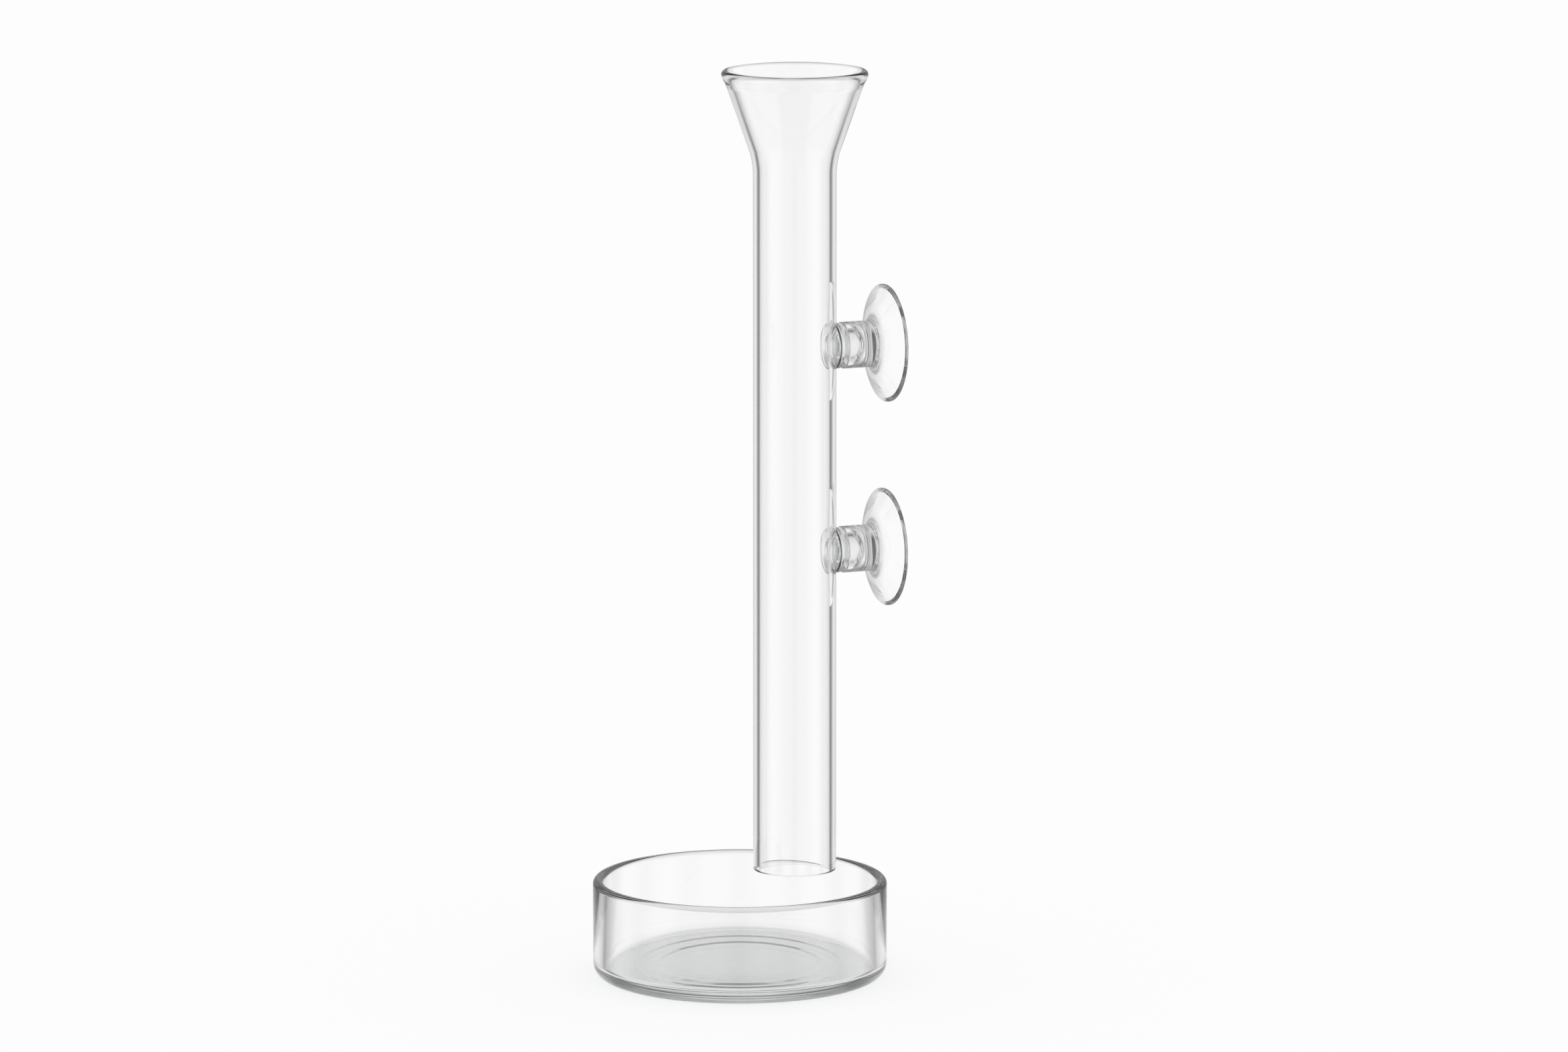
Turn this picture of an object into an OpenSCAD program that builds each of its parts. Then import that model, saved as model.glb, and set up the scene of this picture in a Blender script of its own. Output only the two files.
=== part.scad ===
// Feeding set for an aquarium: a glass feeding tube with a funnel mouth, held to the
// tank wall by two suction cups, above a round glass dish that catches the food.
// The origin is the middle of the dish's underside, +Z is up, and +X points to the tank wall.

/* [Dish] */
// Outside diameter of the dish
dish_d = 60; // [56:0.5:80]
// Height of the dish
dish_h = 20.2; // [14:0.1:20.6]
// Thickness of the dish's side wall
dish_wall = 2.2; // [1.6:0.1:3]
// Thickness of the dish's floor
dish_floor = 2.4; // [1.8:0.1:3.5]
// Radius of the moulded corner between the side wall and the underside
dish_corner = 3; // [2:0.1:4]
// Radius of the outer of two shallow steps in the floor
step_r = 20.7; // [19:0.1:22]

/* [Tube] */
// Outside diameter of the feeding tube
tube_d = 16.9; // [16:0.1:18]
// Thickness of the tube's glass
tube_wall = 1.3; // [1:0.05:1.6]
// Height of the tube's open lower end above the dish's underside
tube_low = 21.2; // [21:0.1:40]
// Height of the funnel's rim above the dish's underside
tube_top = 185.4; // [175:0.1:260]
// Distance from the dish's centre to the tube's axis, towards the tank wall
tube_x = 12; // [0:0.5:16]

/* [Funnel] */
// Outside diameter of the funnel at its rim
funnel_d = 29.7; // [24:0.1:40]
// Angle between the funnel's side and the tube's axis
funnel_angle = 19.3; // [15:0.1:30]
// Outer radius of the bend between tube and funnel
neck_r = 13.7; // [6:0.1:16]
// Section radius of the fire-polished bead along the rim
bead_r = 0.88; // [0.85:0.01:1.1]

/* [Studs] */
// Height of the lower stud's axis above the dish's underside
lower_stud_z = 86.8; // [70:0.1:95]
// Height of the upper stud's axis above the dish's underside
upper_stud_z = 128.8; // [120:0.1:140]
// Diameter of the pad that is fused to the tube
pad_d = 9.3; // [8:0.1:9.5]
// Thickness of the pad, from the tube's outermost line
pad_t = 0.95; // [0.6:0.05:1.1]
// Diameter of the stud's neck
neck_d = 4.3; // [3:0.1:4.8]
// Diameter of the round-ended head that the suction cup turns on
head_d = 5.3; // [5:0.1:5.8]
// Distance from the tube's outermost line to the head's tip
head_end = 5.9; // [5:0.1:6.2]

/* [Suction cups] */
// Diameter of a cup at its lip
cup_d = 24; // [20:0.5:27]
// Distance from the tube's outermost line to the wall that the cups stick on
cup_reach = 11.6; // [11.4:0.1:13]
// Diameter of a cup's hub
hub_d = 9.5; // [9:0.1:11]
// Distance from the tube's outermost line to the hub's open end
hub_start = 1.6; // [1.5:0.1:1.9]
// Distance from the tube's outermost line to where the hub meets the bell
hub_end = 7.7; // [7.4:0.1:8]
// Depth of the hollow under the bell
hollow_depth = 3.3; // [2.8:0.1:3.5]
// Thickness of the bell's outer edge
lip_t = 0.55; // [0.4:0.05:0.8]
// Width of the flat ring that seals on the wall
lip_w = 1.2; // [0.5:0.1:1.4]

/* [Hidden] */
$fn = 96;
dish_r = dish_d / 2;
dish_fillet = 1.2;
step_gap = 4.1;
step_half = 1;
step_drop = 0.12;
tube_r = tube_d / 2;
tube_end_round = 0.25;
funnel_r = funnel_d / 2;
pad_r = pad_d / 2;
pad_round = 0.3;
head_r = head_d / 2;
head_taper = 0.5;
hub_r = hub_d / 2;
hub_round = 0.35;
cup_r = cup_d / 2;
bell_sag = 0.25;
running_gap = 0.06;
tip_gap = 0.3;

// Points along a circle's arc, from one angle to another
function arc(centre, r, from, to, steps) =
    [for (i = [0:steps])
        let (a = from + (to - from) * i / steps)
        centre + r * [cos(a), sin(a)]];

// Points along the arc from p to q that bulges to the right of the way by sag
function bulge(p, q, sag, steps) =
    let (
        chord = q - p,
        len = norm(chord),
        side = [chord[1], -chord[0]] / len,
        r = (len * len / 4 + sag * sag) / (2 * sag),
        centre = (p + q) / 2 - side * (r - sag),
        half = asin(len / 2 / r),
        middle = atan2(side[1], side[0])
    )
    arc(centre, r, middle - half, middle + half, steps);

// Points of a soft step down towards the middle, at radius r, on a floor at height z
function step(r, z, half, drop, steps) =
    let (
        bend = (half * half + drop * drop / 4) / drop,
        turn = asin(half / bend)
    )
    concat(
        arc([r + half, z - bend], bend, 90, 90 + turn, steps),
        arc([r - half, z - drop + bend], bend, turn - 90, -90, steps)
    );

// The dish: stepped floor, straight side wall with a rounded rim, moulded bottom corner
module feeding_dish() {
    outline = concat(
        [[0, 0]],
        arc([dish_r - dish_corner, dish_corner], dish_corner, -90, 0, 10),
        arc([dish_r - dish_wall / 2, dish_h - dish_wall / 2], dish_wall / 2, 0, 180, 12),
        arc([dish_r - dish_wall - dish_fillet, dish_floor + dish_fillet], dish_fillet, 0, -90, 6),
        step(step_r, dish_floor, step_half, step_drop, 3),
        step(step_r - step_gap, dish_floor - step_drop, step_half, step_drop, 3),
        [[0, dish_floor - 2 * step_drop]]
    );
    color("aliceblue", 0.4)
        rotate_extrude()
            polygon(outline);
}

// The tube: one drawn glass pipe whose upper end is flared into a funnel with a beaded rim
module feeding_tube() {
    inner_r = tube_r - tube_wall;
    bead = [funnel_r - bead_r, tube_top - bead_r];
    // Where the funnel's outer side, drawn down straight, would meet the tube's outer side
    corner_z = bead[1] - (bead[0] + tube_wall / 2 / cos(funnel_angle) - tube_r) / tan(funnel_angle);
    bend_z = corner_z - neck_r * tan(funnel_angle / 2);
    bend = [tube_r + neck_r, bend_z];
    // Angle on the bead between the wall's side and the point where the side runs into the bead
    bead_turn = acos(tube_wall / 2 / bead_r);
    outline = concat(
        arc([inner_r + tube_end_round, tube_low + tube_end_round], tube_end_round, 180, 270, 3),
        arc([tube_r - tube_end_round, tube_low + tube_end_round], tube_end_round, -90, 0, 3),
        arc(bend, neck_r, 180, 180 - funnel_angle, 8),
        arc(bead, bead_r, -funnel_angle - bead_turn, 180 - funnel_angle + bead_turn, 18),
        arc(bend, neck_r + tube_wall, 180 - funnel_angle, 180, 8)
    );
    color("aliceblue", 0.4)
        translate([tube_x, 0, 0])
            rotate_extrude()
                polygon(outline);
}

// A stud: a pad fused to the tube, a short neck, and a round-ended head inside the cup's hub
module stud(z) {
    pad_end = tube_r + pad_t;
    shoulder = tube_r + hub_start + head_taper;
    tip = tube_r + head_end;
    outline = concat(
        [[0, 0], [pad_r, 0]],
        arc([pad_r - pad_round, pad_end - pad_round], pad_round, 0, 90, 4),
        [[neck_d / 2, pad_end], [neck_d / 2, shoulder - head_taper]],
        [[head_r, shoulder]],
        arc([0, tip - head_r], head_r, 0, 90, 10)
    );
    color("aliceblue", 0.4)
        difference() {
            translate([tube_x, 0, z])
                rotate([0, 90, 0])
                    rotate_extrude()
                        polygon(outline);
            translate([tube_x, 0, z - dish_d / 2])
                cylinder(r = tube_r, h = dish_d);
        }
}

// A suction cup: a hub with a round-ended socket, and a shallow bell, in one soft moulding
module suction_cup(z) {
    socket_r = head_r + running_gap;
    socket_end = tube_r + head_end + tip_gap;
    open_end = tube_r + hub_start;
    wall_plane = tube_r + cup_reach;
    hollow_rim = cup_r - lip_w;
    // The hollow is part of a sphere that is tangent to the hub's end
    hollow_r = (hollow_rim * hollow_rim + hollow_depth * hollow_depth) / (2 * hollow_depth);
    outline = concat(
        [[socket_r, open_end]],
        arc([hub_r - hub_round, open_end + hub_round], hub_round, -90, 0, 4),
        bulge([hub_r, tube_r + hub_end], [cup_r, wall_plane - lip_t], bell_sag, 10),
        [[cup_r, wall_plane]],
        arc([0, wall_plane - hollow_depth + hollow_r], hollow_r, asin(hollow_rim / hollow_r) - 90, -90, 12),
        arc([0, socket_end - socket_r], socket_r, 90, 0, 10)
    );
    color("whitesmoke", 0.5)
        translate([tube_x, 0, z])
            rotate([0, 90, 0])
                rotate_extrude()
                    polygon(outline);
}

module upper_stud() {
    stud(upper_stud_z);
}

module lower_stud() {
    stud(lower_stud_z);
}

module upper_suction_cup() {
    suction_cup(upper_stud_z);
}

module lower_suction_cup() {
    suction_cup(lower_stud_z);
}

feeding_dish();
feeding_tube();
upper_stud();
lower_stud();
upper_suction_cup();
lower_suction_cup();
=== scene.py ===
# Glass feeding set for an aquarium: a feeding tube with a funnel mouth hangs on two suction
# cups over a round feeding dish. All lengths are in metres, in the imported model's own frame.
import math

import bmesh
import bpy
from mathutils import Matrix, Vector


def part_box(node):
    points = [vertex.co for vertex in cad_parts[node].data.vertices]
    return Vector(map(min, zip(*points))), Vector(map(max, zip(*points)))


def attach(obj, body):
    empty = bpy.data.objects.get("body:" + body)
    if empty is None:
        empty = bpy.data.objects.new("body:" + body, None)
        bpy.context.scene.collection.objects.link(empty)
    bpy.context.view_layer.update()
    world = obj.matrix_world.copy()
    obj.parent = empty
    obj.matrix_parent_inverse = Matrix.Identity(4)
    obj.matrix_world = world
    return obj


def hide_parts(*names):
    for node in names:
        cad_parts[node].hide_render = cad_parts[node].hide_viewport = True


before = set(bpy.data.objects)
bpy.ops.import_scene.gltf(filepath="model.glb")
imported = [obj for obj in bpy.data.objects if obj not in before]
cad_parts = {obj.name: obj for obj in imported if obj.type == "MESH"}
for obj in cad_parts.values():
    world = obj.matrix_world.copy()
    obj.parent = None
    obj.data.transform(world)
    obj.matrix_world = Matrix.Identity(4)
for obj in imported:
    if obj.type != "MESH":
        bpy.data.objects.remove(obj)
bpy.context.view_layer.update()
MM = 0.001

# ---------------------------------------------------------------- camera
# A long lens looks slightly down on the set, from a side that has the suction cups to the
# right, turned away a little. The lens and its sensor are in millimetres, as on a real camera.
LENS = 206.7151
SENSOR = 36
TURN = math.radians(21.4)
PITCH = math.radians(9.55)
DISTANCE = 1800 * MM
HEIGHT = 395.8 * MM
ASIDE = 9.0 * MM

camera_data = bpy.data.cameras.new("camera")
camera_data.sensor_width = SENSOR
camera_data.lens = LENS
camera = bpy.data.objects.new("camera", camera_data)
camera.matrix_world = (
    Matrix.Rotation(-TURN, 4, "Z")
    @ Matrix.Translation((ASIDE, -DISTANCE, HEIGHT))
    @ Matrix.Rotation(math.pi / 2 - PITCH, 4, "X")
)
bpy.context.scene.collection.objects.link(camera)
bpy.context.scene.camera = camera

# ---------------------------------------------------------------- feeding dish
# A small dish of clear glass with a straight side and a fire-polished rim. It's blown into a
# mould, which leaves a soft corner under the side and two shallow, round steps in the floor.
DISH_WALL = 2.2 * MM
DISH_FLOOR = 2.4 * MM
DISH_CORNER = 3.0 * MM
DISH_FILLET = 1.2 * MM
STEP_RADIUS = 20.7 * MM
STEP_GAP = 4.1 * MM
STEP_HALF = 1.0 * MM
STEP_DROP = 0.12 * MM
TURN_STEPS = 192
CORNER_STEPS = 10
MERGE = 1e-7
CLEAR = (1.0, 1.0, 1.0, 1.0)
FILM_SCALE = 90.0
DEPTH_DENSITY = 100.0


def turned(outline, rounding, axis_from, axis, closed, steps=TURN_STEPS):
    """Rounds the corners of a flat outline and spins it about an axis into a closed piece.

    An outline that isn't closed starts and ends on the axis, and its side there is left out.
    """
    bm = bmesh.new()
    corners = [bm.verts.new(point) for point in outline]
    bm.faces.new(corners)
    for corner, radius in zip(corners, rounding):
        if radius:
            bmesh.ops.bevel(
                bm, geom=[corner], offset=radius, offset_type="ABSOLUTE", affect="VERTICES",
                segments=CORNER_STEPS, profile=0.5, material=-1, clamp_overlap=False,
            )
    bmesh.ops.delete(bm, geom=bm.faces[:], context="FACES_ONLY")
    if not closed:
        on_axis = [e for e in bm.edges if all(off_axis(v.co, axis_from, axis) < MERGE for v in e.verts)]
        bmesh.ops.delete(bm, geom=on_axis, context="EDGES")
    bmesh.ops.spin(
        bm, geom=bm.verts[:] + bm.edges[:], cent=axis_from, axis=axis,
        angle=2 * math.pi, steps=steps, use_merge=True,
    )
    bmesh.ops.remove_doubles(bm, verts=bm.verts[:], dist=MERGE)
    bmesh.ops.recalc_face_normals(bm, faces=bm.faces[:])
    return bm


def off_axis(point, axis_from, axis):
    """Distance of a point from a line along a unit vector."""
    arm = point - axis_from
    return (arm - axis * arm.dot(axis)).length


def finished(name, bm, material, body, slot, *nodes):
    """Makes a piece of a bmesh, with its material and its place in the frame."""
    for face in bm.faces:
        face.smooth = True
    mesh = bpy.data.meshes.new(name)
    bm.to_mesh(mesh)
    bm.free()
    mesh.materials.append(material)
    piece = bpy.data.objects.new(name, mesh)
    bpy.context.scene.collection.objects.link(piece)
    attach(piece, body)
    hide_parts(*nodes)


class Wire:
    """An output socket in a node tree. Sums, differences and products add Math nodes."""

    def __init__(self, tree, socket=None):
        self.tree = tree
        self.socket = socket

    def node(self, kind, settings=None, inputs=None, out=0):
        """Adds a node: its settings first, then the values or wires of its inputs.

        The stops of a ramp are pairs of a place along it and a grey level.
        """
        made = self.tree.nodes.new(kind)
        for key, value in (settings or {}).items():
            if key == "stops":
                for place, _ in value[1:-1]:
                    made.color_ramp.elements.new(place)
                for stop, (place, grey) in zip(made.color_ramp.elements, value):
                    stop.position = place
                    stop.color = (grey, grey, grey, 1)
            else:
                setattr(made, key, value)
        for key, value in (inputs or {}).items():
            if isinstance(value, Wire):
                self.tree.links.new(value.socket, made.inputs[key])
            else:
                made.inputs[key].default_value = value
        return Wire(self.tree, made.outputs[out] if made.outputs else None)

    def math(self, operation, *others):
        """Adds a Math node that starts from this wire."""
        return self.node("ShaderNodeMath", {"operation": operation}, dict(enumerate((self, *others))))

    def __add__(self, other):
        return self.math("ADD", other)

    def __mul__(self, other):
        return self.math("MULTIPLY", other)

    def __sub__(self, other):
        return self.math("SUBTRACT", other)

    def __rsub__(self, other):
        return self.node("ShaderNodeMath", {"operation": "SUBTRACT"}, {0: other, 1: self})

    __radd__ = __add__
    __rmul__ = __mul__


def clear_material(name, depth_tint, shade, ior, ripple, ripple_scale, haze):
    """Clear glass or vinyl that refracts, with faint ripples and an uneven film on it.

    Light that falls on other things goes straight through and only takes on the shade. The
    depth tint is the colour that shows through a thick part.
    """
    material = bpy.data.materials.new(name)
    material.use_nodes = True
    tree = material.node_tree
    tree.nodes.clear()
    start = Wire(tree)
    place = start.node("ShaderNodeTexCoord", out="Object")
    stretched = start.node(
        "ShaderNodeMapping", {"vector_type": "POINT"}, {"Vector": place, "Scale": ripple_scale}
    )
    waves = start.node("ShaderNodeTexNoise", {}, {"Vector": stretched, "Scale": 1.0, "Detail": 1.0})
    bump = start.node(
        "ShaderNodeBump", {}, {"Height": waves, "Strength": 1.0, "Distance": ripple}
    )
    film = start.node("ShaderNodeTexNoise", {}, {"Vector": place, "Scale": FILM_SCALE, "Detail": 3.0})
    body = start.node(
        "ShaderNodeBsdfPrincipled", {},
        {
            "Base Color": CLEAR, "IOR": ior, "Transmission Weight": 1.0,
            "Roughness": film * haze, "Normal": bump,
        },
    )
    lamplight = start.node("ShaderNodeBsdfTransparent", {}, {"Color": (*shade, 1)})
    shadow_ray = start.node("ShaderNodeLightPath", out="Is Shadow Ray")
    soft_ray = start.node("ShaderNodeLightPath", out="Is Diffuse Ray")
    surface = start.node(
        "ShaderNodeMixShader", {}, {0: shadow_ray.math("MAXIMUM", soft_ray), 1: body, 2: lamplight}
    )
    depth = start.node(
        "ShaderNodeVolumeAbsorption", {}, {"Color": (*depth_tint, 1), "Density": DEPTH_DENSITY}
    )
    start.node("ShaderNodeOutputMaterial", {}, {"Surface": surface, "Volume": depth})
    return material


clear_glass = clear_material(
    "clear_glass", depth_tint=(0.925, 0.931, 0.929), shade=(0.97, 0.973, 0.972), ior=1.47,
    ripple=0.02 * MM, ripple_scale=(60, 60, 8), haze=0.01,
)
dish_low, dish_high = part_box("feeding_dish")
dish_radius = (dish_high.x - dish_low.x) / 2
dish_height = dish_high.z
inside = dish_radius - DISH_WALL
inner_step = STEP_RADIUS - STEP_GAP
dish = turned(
    [
        Vector((0, 0, 0)),
        Vector((dish_radius, 0, 0)),
        Vector((dish_radius, 0, dish_height)),
        Vector((inside, 0, dish_height)),
        Vector((inside, 0, DISH_FLOOR)),
        Vector((STEP_RADIUS + STEP_HALF / 2, 0, DISH_FLOOR)),
        Vector((STEP_RADIUS - STEP_HALF / 2, 0, DISH_FLOOR - STEP_DROP)),
        Vector((inner_step + STEP_HALF / 2, 0, DISH_FLOOR - STEP_DROP)),
        Vector((inner_step - STEP_HALF / 2, 0, DISH_FLOOR - STEP_DROP * 2)),
        Vector((0, 0, DISH_FLOOR - STEP_DROP * 2)),
    ],
    [
        0, DISH_CORNER, DISH_WALL / 2, DISH_WALL / 2, DISH_FILLET,
        STEP_HALF / 2, STEP_HALF / 2, STEP_HALF / 2, STEP_HALF / 2, 0,
    ],
    Vector((0, 0, 0)), Vector((0, 0, 1)), False,
)
finished("glass_feeding_dish", dish, clear_glass, "dish", "clear_glass", "feeding_dish")

# ---------------------------------------------------------------- feeding tube
# Drawn glass pipe. The funnel is the same wall, heated and flared over a cone, and its rim
# is melted to a bead that the wall thickens into. The lower end is cut square and polished.
TUBE_RADIUS = 8.45 * MM
TUBE_WALL = 1.3 * MM
TUBE_END = 0.25 * MM
FLARE = math.radians(19.3)
NECK = 13.7 * MM
BEAD = 0.88 * MM
BEAD_START = 2.4 * BEAD
BEAD_START_BEND = 0.8 * BEAD
BEAD_UNDERSIDE = 0.8 * BEAD
BEAD_UNDERSIDE_BEND = 0.6 * BEAD

tube_low, tube_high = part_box("feeding_tube")
axis_x = (tube_low.x + tube_high.x) / 2
tube_side = axis_x + TUBE_RADIUS
tube_inside = tube_side - TUBE_WALL
bead_r = (tube_high.x - tube_low.x) / 2 - BEAD
bead_z = tube_high.z - BEAD
half_wall = TUBE_WALL / 2
corner_z = bead_z - (bead_r + half_wall / math.cos(FLARE) - TUBE_RADIUS) / math.tan(FLARE)
inner_corner_z = corner_z + TUBE_WALL * math.tan(FLARE / 2)
along = Vector((math.sin(FLARE), 0, math.cos(FLARE)))
across = Vector((math.cos(FLARE), 0, -math.sin(FLARE)))
bead = Vector((axis_x + bead_r, 0, bead_z))
tube = turned(
    [
        Vector((tube_side, 0, tube_low.z)),
        Vector((tube_side, 0, corner_z)),
        bead + across * half_wall - along * BEAD_START,
        bead + across * BEAD - along * BEAD_UNDERSIDE,
        bead + across * BEAD + along * BEAD,
        bead - across * BEAD + along * BEAD,
        bead - across * BEAD - along * BEAD_UNDERSIDE,
        bead - across * half_wall - along * BEAD_START,
        Vector((tube_inside, 0, inner_corner_z)),
        Vector((tube_inside, 0, tube_low.z)),
    ],
    [
        TUBE_END, NECK * math.tan(FLARE / 2), BEAD_START_BEND, BEAD_UNDERSIDE_BEND, BEAD,
        BEAD, BEAD_UNDERSIDE_BEND, BEAD_START_BEND, (NECK + TUBE_WALL) * math.tan(FLARE / 2), TUBE_END,
    ],
    Vector((axis_x, 0, 0)), Vector((0, 0, 1)), True,
)
finished("glass_feeding_tube", tube, clear_glass, "tube", "clear_glass", "feeding_tube")

# ---------------------------------------------------------------- studs
# Each stud is a blob of solid glass rod, pressed on the hot tube into a round pad and drawn
# out into a neck and a round-ended head, which the suction cup is pushed on. The pad is sunk
# a little into the tube's outermost line.
PAD_RADIUS = 4.65 * MM
PAD_DEPTH = 0.15 * MM
PAD_OUT = 0.95 * MM
NECK_RADIUS = 2.15 * MM
HEAD_RADIUS = 2.65 * MM
HUB_START = 1.6 * MM
HEAD_TAPER = 0.5 * MM
PAD_WELD = 0.4 * MM
PAD_EDGE = 0.3 * MM
NECK_EDGE = 0.2 * MM
STUD_STEPS = 128

for side in ("upper", "lower"):
    low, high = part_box(f"{side}_stud")
    level = (low.z + high.z) / 2
    stud = turned(
        [
            Vector((tube_side - PAD_DEPTH, 0, level)),
            Vector((tube_side - PAD_DEPTH, 0, level + PAD_RADIUS)),
            Vector((tube_side + PAD_OUT, 0, level + PAD_RADIUS)),
            Vector((tube_side + PAD_OUT, 0, level + NECK_RADIUS)),
            Vector((tube_side + HUB_START, 0, level + NECK_RADIUS)),
            Vector((tube_side + HUB_START + HEAD_TAPER, 0, level + HEAD_RADIUS)),
            Vector((high.x, 0, level + HEAD_RADIUS)),
            Vector((high.x, 0, level)),
        ],
        [0, PAD_WELD, PAD_EDGE, NECK_EDGE, NECK_EDGE, NECK_EDGE, HEAD_RADIUS, 0],
        Vector((0, 0, level)), Vector((1, 0, 0)), False, STUD_STEPS,
    )
    finished(f"glass_{side}_stud", stud, clear_glass, "tube", "fused_glass", f"{side}_stud")

# ---------------------------------------------------------------- suction cups
# Soft clear vinyl, one moulding each: a thick hub with a blind, round-ended socket for the
# stud, and a shallow bell that thins out to a lip with a flat ring that seals on the wall.
CUP_RADIUS = 12.0 * MM
HUB_RADIUS = 4.75 * MM
SOCKET_RADIUS = 2.71 * MM
SOCKET_END = 6.2 * MM
HUB_END = 7.7 * MM
HOLLOW_DEPTH = 3.3 * MM
LIP = 0.55 * MM
LIP_FLAT = 1.2 * MM
HUB_EDGE = 0.35 * MM
HUB_FILLET = 0.12 * MM
SOCKET_EDGE = 0.15 * MM
LIP_EDGE = 0.15 * MM
RING_EDGE = 0.1 * MM
HOLLOW_MIDDLE = 5.4 * MM
HOLLOW_BEND = 4.0 * MM
CUP_STEPS = 128

clear_vinyl = clear_material(
    "clear_soft_pvc", depth_tint=(0.85, 0.858, 0.853), shade=(0.94, 0.945, 0.943), ior=1.5,
    ripple=0.008 * MM, ripple_scale=(120, 120, 120), haze=0.02,
)
for side in ("upper", "lower"):
    low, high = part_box(f"{side}_suction_cup")
    level = (low.z + high.z) / 2
    apex = high.x - HOLLOW_DEPTH
    cup = turned(
        [
            Vector((tube_side + SOCKET_END, 0, level)),
            Vector((tube_side + SOCKET_END, 0, level + SOCKET_RADIUS)),
            Vector((tube_side + HUB_START, 0, level + SOCKET_RADIUS)),
            Vector((tube_side + HUB_START, 0, level + HUB_RADIUS)),
            Vector((tube_side + HUB_END, 0, level + HUB_RADIUS)),
            Vector((high.x - LIP, 0, level + CUP_RADIUS)),
            Vector((high.x, 0, level + CUP_RADIUS)),
            Vector((high.x, 0, level + CUP_RADIUS - LIP_FLAT)),
            Vector((apex, 0, level + HOLLOW_MIDDLE)),
            Vector((apex, 0, level)),
        ],
        [
            0, SOCKET_RADIUS, SOCKET_EDGE, HUB_EDGE, HUB_FILLET,
            LIP_EDGE, LIP_EDGE, RING_EDGE, HOLLOW_BEND, 0,
        ],
        Vector((0, 0, level)), Vector((1, 0, 0)), False, CUP_STEPS,
    )
    finished(
        f"soft_{side}_suction_cup", cup, clear_vinyl,
        f"{side}_cup", "clear_soft_pvc", f"{side}_suction_cup",
    )

# ---------------------------------------------------------------- studio
# A pale floor that fades into an even white surround. Only light that has met the glass sees
# soft, darker panels on the surround, and they draw the thin dark lines along its edges.
FLOOR_RADIUS = 600 * MM
FLOOR_SIDES = 96
FLOOR_DROP = 0.05 * MM
SEEN_FADE = (35 * MM, 160 * MM)
BENT_FADE = (26.2 * MM, 28 * MM)
WHITE = 0.982
PANELS = 8
PANEL_TURN = math.radians(43.9)
STEEP = (0.42, 0.65)
STEEP_LEVEL = 0.9
DEEP_INSIDE = 3.5
WALL_PASSES = 32
REFLECTIONS = 16


def rise(value, span, curve):
    """0 up to the start of a span of values, 1 beyond its end, and a rise between."""
    return value.node(
        "ShaderNodeMapRange", {"interpolation_type": curve},
        {"Value": value, "From Min": span[0], "From Max": span[1], "To Min": 0.0, "To Max": 1.0},
    )


def mixed(share, first, second):
    """The first value where a share is 0, and the second where it is 1."""
    return share.node("ShaderNodeMix", {"data_type": "FLOAT"}, {0: share, 2: first, 3: second})


def greys(place, *stops):
    """A ramp of grey levels along a value."""
    return place.node("ShaderNodeValToRGB", {"stops": stops}, {"Fac": place}, out="Color")


floor_mesh = bpy.data.meshes.new("floor")
floor_bm = bmesh.new()
bmesh.ops.create_circle(
    floor_bm, cap_ends=True, cap_tris=False, segments=FLOOR_SIDES, radius=FLOOR_RADIUS
)
floor_bm.to_mesh(floor_mesh)
floor_bm.free()
floor_mesh.transform(Matrix.Translation((0, 0, -FLOOR_DROP)))
floor = bpy.data.objects.new("floor", floor_mesh)
bpy.context.scene.collection.objects.link(floor)

# Seen past the glass, the floor fades out round the dish. Seen through the glass, it ends
# under the dish, so that the walls show the surround instead.
floor_material = bpy.data.materials.new("pale_floor")
floor_material.use_nodes = True
floor_material.node_tree.nodes.clear()
start = Wire(floor_material.node_tree)
place = start.node("ShaderNodeTexCoord", out="Object")
reach = start.node("ShaderNodeVectorMath", {"operation": "LENGTH"}, {0: place}, out="Value")
bent_ray = start.node("ShaderNodeLightPath", out="Is Transmission Ray")
fade = mixed(bent_ray, rise(reach, SEEN_FADE, "SMOOTHSTEP"), rise(reach, BENT_FADE, "SMOOTHSTEP"))
paper = start.node("ShaderNodeBsdfDiffuse", {}, {"Color": CLEAR})
gone = start.node("ShaderNodeBsdfTransparent")
start.node(
    "ShaderNodeOutputMaterial", {},
    {"Surface": start.node("ShaderNodeMixShader", {}, {0: fade, 1: paper, 2: gone})},
)
floor_mesh.materials.append(floor_material)

world = bpy.data.worlds.new("studio")
bpy.context.scene.world = world
world.use_nodes = True
world.node_tree.nodes.clear()
start = Wire(world.node_tree)
view = start.node("ShaderNodeTexCoord", out="Generated")
x = start.node("ShaderNodeSeparateXYZ", {}, {"Vector": view}, out="X")
y = start.node("ShaderNodeSeparateXYZ", {}, {"Vector": view}, out="Y")
z = start.node("ShaderNodeSeparateXYZ", {}, {"Vector": view}, out="Z")

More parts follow.
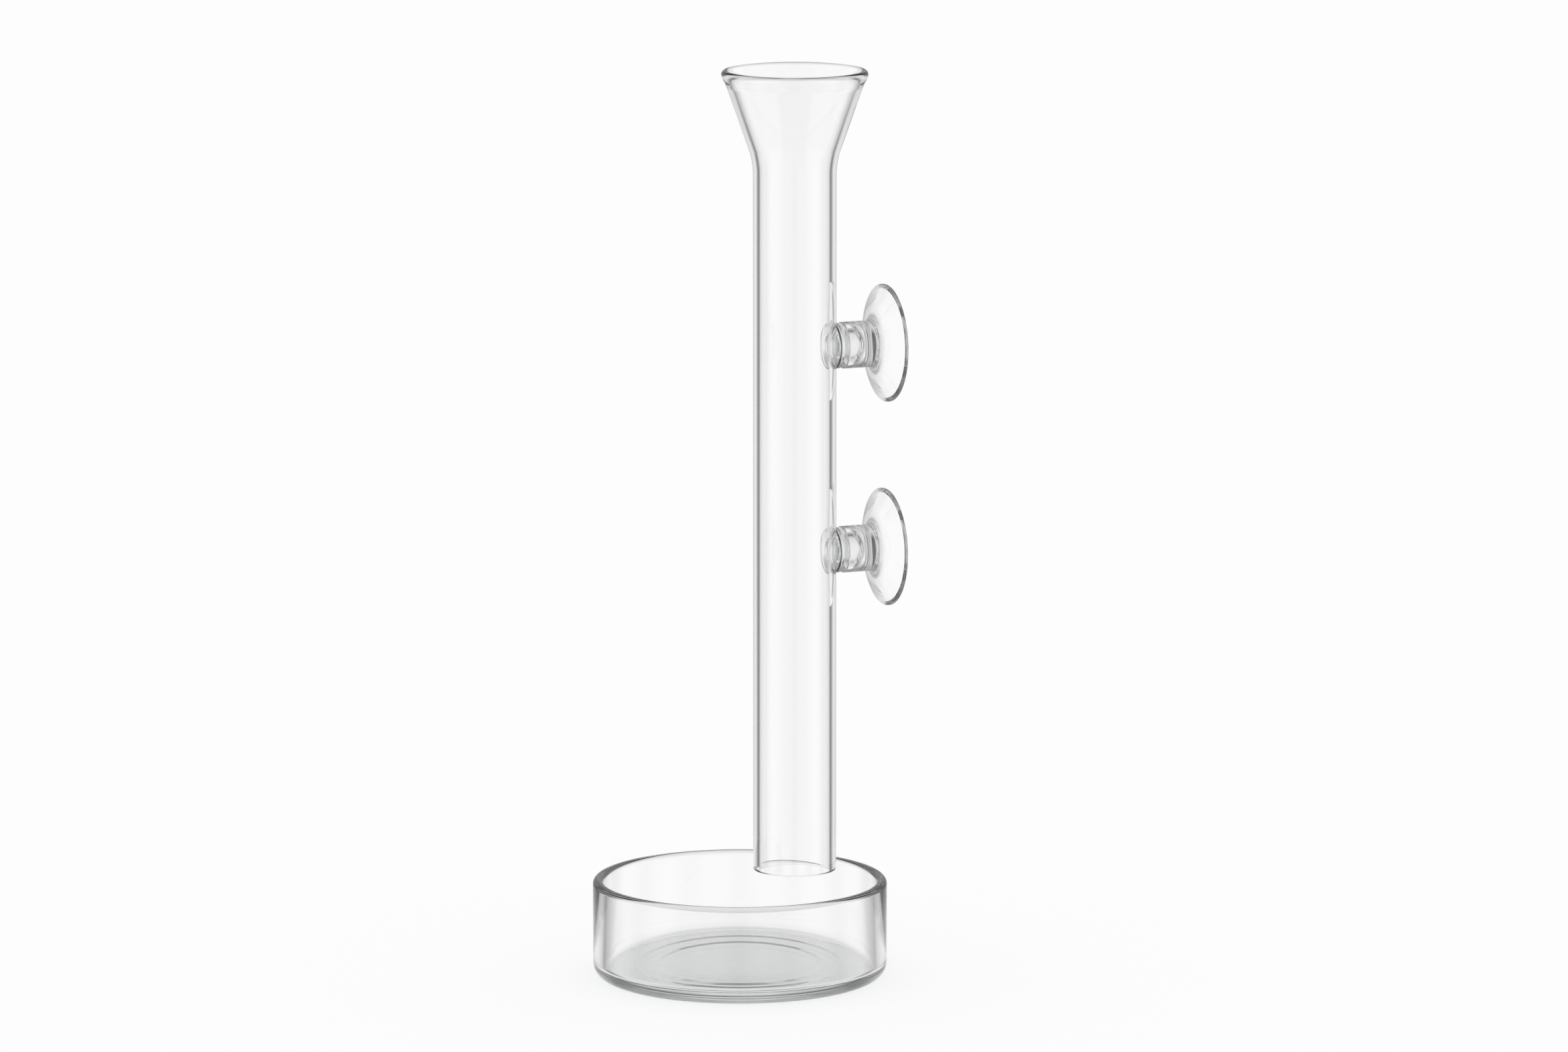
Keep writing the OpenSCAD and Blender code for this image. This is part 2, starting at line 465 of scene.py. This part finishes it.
# Bearings count from the way that the camera faces. The panels stand at even turns all round,
# with a gap straight ahead and a soft shade to both sides of it. Steep ways see an even grey.
bearing = y.math("ARCTAN2", x) + (TURN - math.pi / 2)
ahead = bearing.math("COSINE")
panel_places = 0.5 * ((bearing - PANEL_TURN) * PANELS).math("COSINE") + 0.5
gap = greys(ahead, (0.0, 1.0), (0.93, 1.0), (0.975, 0.0), (1.0, 0.0))
front = greys(
    ahead,
    (0.57, 1.0), (0.707, 0.8), (0.809, 0.7), (0.866, 0.68),
    (0.927, 0.8), (0.961, 0.83), (0.983, 0.9), (0.99, 1.0),
)
panels = front * greys(
    panel_places * gap,
    (0.0, 1.0), (0.12, 0.98), (0.3, 0.93), (0.5, 0.75), (0.7, 0.5), (0.9, 0.3), (1.0, 0.18),
)
screens = mixed(rise(z.math("ABSOLUTE"), STEEP, "LINEAR"), panels, STEEP_LEVEL)

# The greys from straight down (0) over level (0.5) to straight up (1)
heights = greys(
    z.math("ARCSINE") * (1 / math.pi) + 0.5,
    (0.0, 0.35), (0.075, 0.35), (0.14, 0.5), (0.225, 0.8), (0.35, 0.95), (0.425, 1.0),
    (0.575, 1.0), (0.64, 0.7), (0.725, 0.35), (0.81, 0.2), (0.89, 0.75), (0.975, 1.0),
)

# Reflections see two wide, plain shades in the panels' place, one ahead and one behind. So
# does light that was reflected and has passed more than three surfaces of the glass.
mirrored = greys(
    0.5 * (2 * bearing).math("COSINE") + 0.5,
    (0.0, 1.0), (0.60, 1.0), (0.72, 0.45), (1.0, 0.45),
)
through = start.node("ShaderNodeLightPath", out="Is Transmission Ray")
bounces = start.node("ShaderNodeLightPath", out="Glossy Depth").math("MINIMUM", 1.0)
passes = start.node("ShaderNodeLightPath", out="Transmission Depth").math("GREATER_THAN", DEEP_INSIDE)
around = mixed(through * (1 - bounces * passes), mirrored, screens) * heights
met_glass = through.math("MAXIMUM", start.node("ShaderNodeLightPath", out="Is Glossy Ray"))
strength = mixed(met_glass, 1.0, around) * WHITE
start.node(
    "ShaderNodeOutputWorld", {},
    {"Surface": start.node("ShaderNodeBackground", {}, {"Color": CLEAR, "Strength": strength})},
)

# A ray has to get through all the walls of glass that can stand one behind another
scene = bpy.context.scene
scene.view_settings.view_transform = "Standard"
scene.cycles.max_bounces = WALL_PASSES
scene.cycles.transmission_bounces = WALL_PASSES
scene.cycles.transparent_max_bounces = WALL_PASSES
scene.cycles.glossy_bounces = REFLECTIONS
